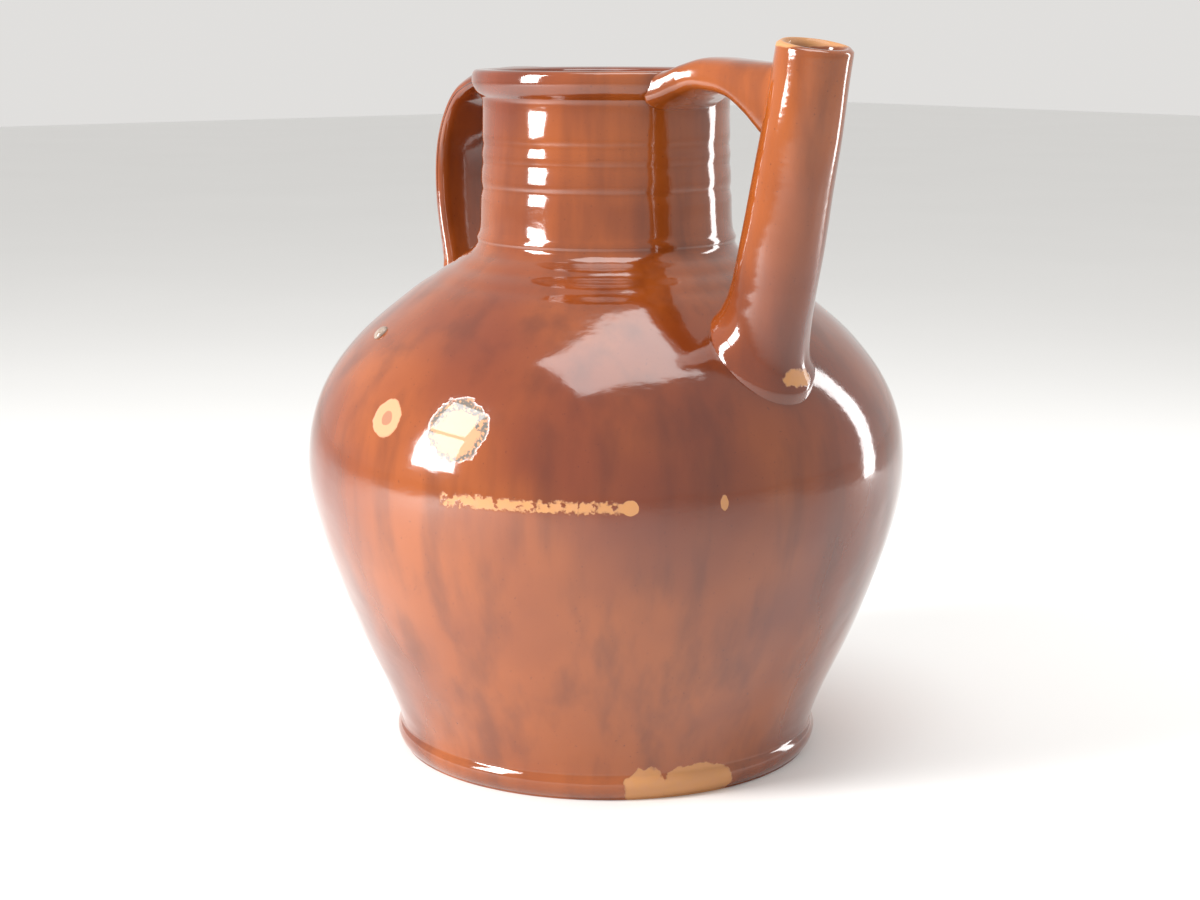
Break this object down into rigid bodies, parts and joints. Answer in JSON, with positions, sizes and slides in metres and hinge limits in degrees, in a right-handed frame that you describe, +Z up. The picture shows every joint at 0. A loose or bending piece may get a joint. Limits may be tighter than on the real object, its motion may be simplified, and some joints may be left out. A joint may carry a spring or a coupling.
{
  "type": "jug",
  "caption": "Hand-thrown brown glazed earthenware jug with a tubular pouring spout, a bridge strap from rim to spout and a fluted ear handle.",
  "frame": {"origin": "centre of the flat underside of the foot", "axes": "+X towards the spout, -X towards the handle, +Z up along the thrown body's axis"},
  "size_m": [0.2783, 0.264, 0.3145],
  "materials": {
    "brown_glaze": "glossy lead glaze over red clay",
    "bare_clay": "unglazed fired clay, matt"
  },
  "bodies": {
    "root": {"floor_disc": "bare_clay", "foot_ring": "brown_glaze", "belly_wall": "brown_glaze", "neck_collar": "brown_glaze", "rim_band": "brown_glaze", "spout_tube": "brown_glaze", "spout_root_coil": "brown_glaze", "bridge_strap": "brown_glaze", "handle_strap": "brown_glaze", "handle_upper_pad": "brown_glaze", "handle_lower_pad": "brown_glaze"}
  },
  "joints": []
}
